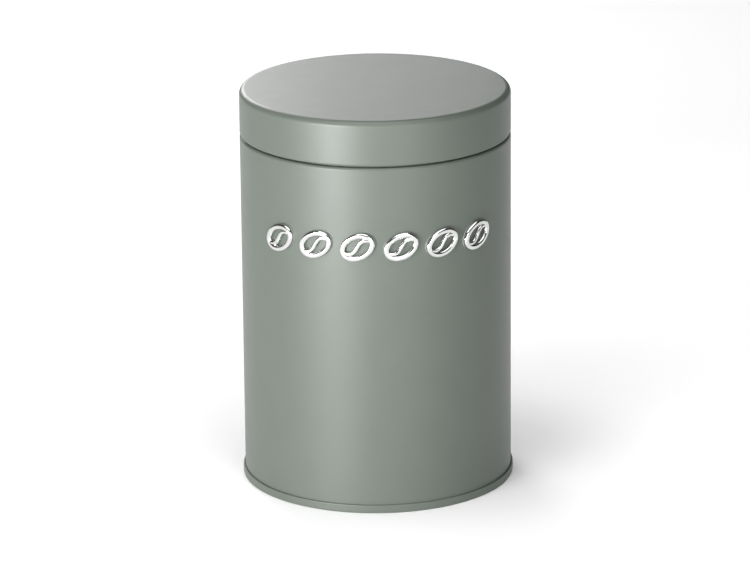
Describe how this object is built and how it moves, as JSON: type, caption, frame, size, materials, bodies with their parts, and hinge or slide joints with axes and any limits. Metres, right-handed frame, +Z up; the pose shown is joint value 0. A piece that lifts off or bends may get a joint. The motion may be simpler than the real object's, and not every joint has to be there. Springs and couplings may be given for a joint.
{
  "type": "coffee tin",
  "caption": "Round sheet-metal storage tin with a seamed base, inner neck, lift-off lid with plastic seal, and a row of raised bright bean badges round the front.",
  "frame": {"origin": "on the tin's axis, in the plane that the base seam stands on", "axes": "+Z up along the tin's axis to the lid; -Y is the front with the badges; +X to the right seen from the front"},
  "size_m": [0.1064, 0.1074, 0.156],
  "materials": {
    "sage_paint": "satin grey-green enamel",
    "bare_tinplate": "bright tinplate with faint rolling lines",
    "bright_chrome": "polished",
    "seal_plastic": "natural, slightly waxy",
    "adhesive": "clear film, dull",
    "sealing_compound": "dull"
  },
  "bodies": {
    "tin": {"body_wall": "sage_paint", "base_end": "sage_paint", "seam_compound": "sealing_compound", "neck_ring": "bare_tinplate", "bean_badge_1": "bright_chrome", "bean_badge_2": "bright_chrome", "bean_badge_3": "bright_chrome", "bean_badge_4": "bright_chrome", "bean_badge_5": "bright_chrome", "bean_badge_6": "bright_chrome", "adhesive_film_1": "adhesive", "adhesive_film_2": "adhesive", "adhesive_film_3": "adhesive", "adhesive_film_4": "adhesive", "adhesive_film_5": "adhesive", "adhesive_film_6": "adhesive"},
    "seal": {"lid_seal": "seal_plastic"},
    "lid": {"lid_shell": "sage_paint"}
  },
  "joints": [
    {"name": "lid_lift", "type": "slide", "parent": "tin", "child": "seal", "axis": [0, 0, 1], "range_m": [0, 0.11]},
    {"name": "lid_turn", "type": "hinge", "parent": "seal", "child": "lid", "pos_m": [0, 0, 0.148], "axis": [0, 0, 1], "continuous": true}
  ]
}
